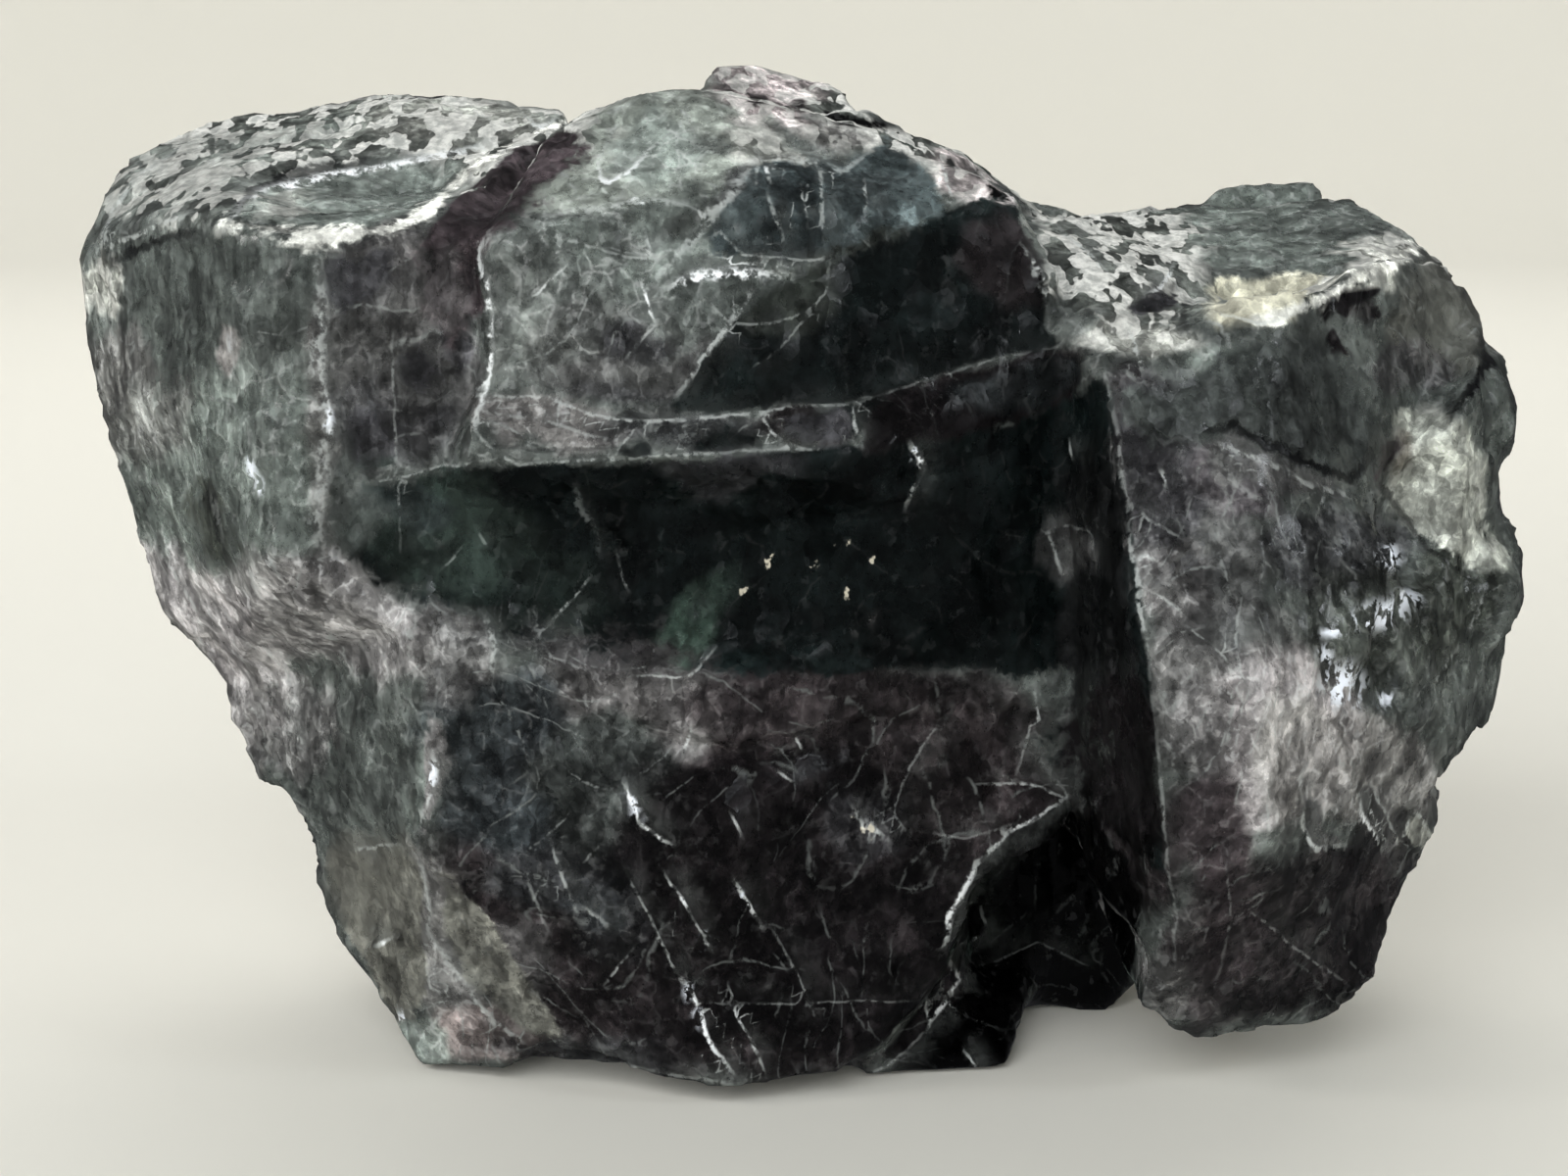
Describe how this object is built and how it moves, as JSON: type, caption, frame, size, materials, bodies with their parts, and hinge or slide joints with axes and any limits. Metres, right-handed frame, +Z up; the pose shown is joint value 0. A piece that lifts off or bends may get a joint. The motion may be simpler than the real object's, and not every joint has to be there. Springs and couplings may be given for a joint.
{
  "type": "fluorite crystal",
  "caption": "Rough chunk of dark green and violet banded fluorite with cleaved glassy faces, a curved front ledge and a white etched crust on top; stands on a flat underside.",
  "frame": {"origin": "middle of the stone's box at the level of its flat underside", "axes": "+X to the right along the long side, seen from the front; -Y is the front with the ledge; +Z up"},
  "size_m": [0.1208, 0.062, 0.0804],
  "materials": {
    "fluorite": "dark translucent green and violet, glossy on cleavage faces, dull white crust on top"
  },
  "bodies": {
    "root": {"fluorite_crystal": "fluorite"}
  },
  "joints": []
}
